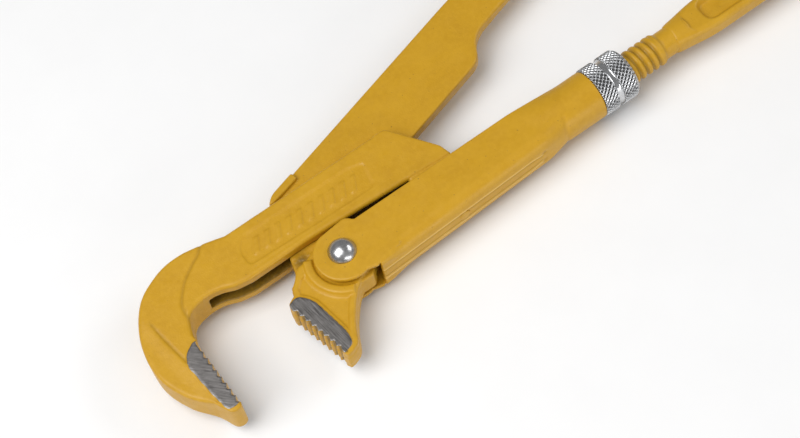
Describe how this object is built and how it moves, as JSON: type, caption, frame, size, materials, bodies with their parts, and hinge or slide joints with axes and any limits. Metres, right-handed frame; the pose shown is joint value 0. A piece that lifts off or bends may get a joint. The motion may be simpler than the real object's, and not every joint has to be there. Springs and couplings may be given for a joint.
{
  "type": "pipe wrench",
  "caption": "Adjustable pipe wrench with square-set jaws: a hook jaw on a threaded rod, a lever with the lower jaw, a sliding sleeve and a knurled nut.",
  "frame": {"origin": "centre of the box round the wrench, on its underside", "axes": "+X from the jaws to the handles along the threaded rod, +Y from the rod towards the lever, +Z through the thickness"},
  "size_m": [0.4228, 0.18, 0.034],
  "materials": {
    "painted_forging": "golden yellow enamel over a drop forging, worn to bare steel on the ground jaw sides",
    "painted_sheet": "golden yellow enamel over pressed sheet steel",
    "bright_zinc": "bright zinc plate, polished on the rivet heads, knurled on the nut",
    "spring_steel": "oiled blue-grey spring steel"
  },
  "bodies": {
    "hook": {"hook_jaw": "painted_forging"},
    "sleeve": {"sleeve": "painted_sheet", "pivot_rivet": "bright_zinc", "nut_retaining_ring": "spring_steel", "leaf_spring": "spring_steel", "leaf_spring_rivet": "bright_zinc"},
    "nut": {"adjusting_nut": "bright_zinc"},
    "lever": {"lever": "painted_forging"}
  },
  "joints": [
    {"name": "sleeve_slide", "type": "slide", "parent": "hook", "child": "sleeve", "axis": [1, 0, 0], "range_m": [-0.0335, 0.006]},
    {"name": "nut_spin", "type": "hinge", "parent": "sleeve", "child": "nut", "pos_m": [0.06236, -0.04393, 0.017], "axis": [1, 0, 0], "range_deg": [-2876, 520]},
    {"name": "lever_pivot", "type": "hinge", "parent": "sleeve", "child": "lever", "pos_m": [-0.10264, -0.04393, 0.017], "axis": [0, 0, 1], "range_deg": [-12, 1], "stiffness_Nm_per_rad": 3}
  ],
  "couplings": [
    {"joint": "nut_spin", "follows": "sleeve_slide", "rad_per_m": 1496}
  ]
}
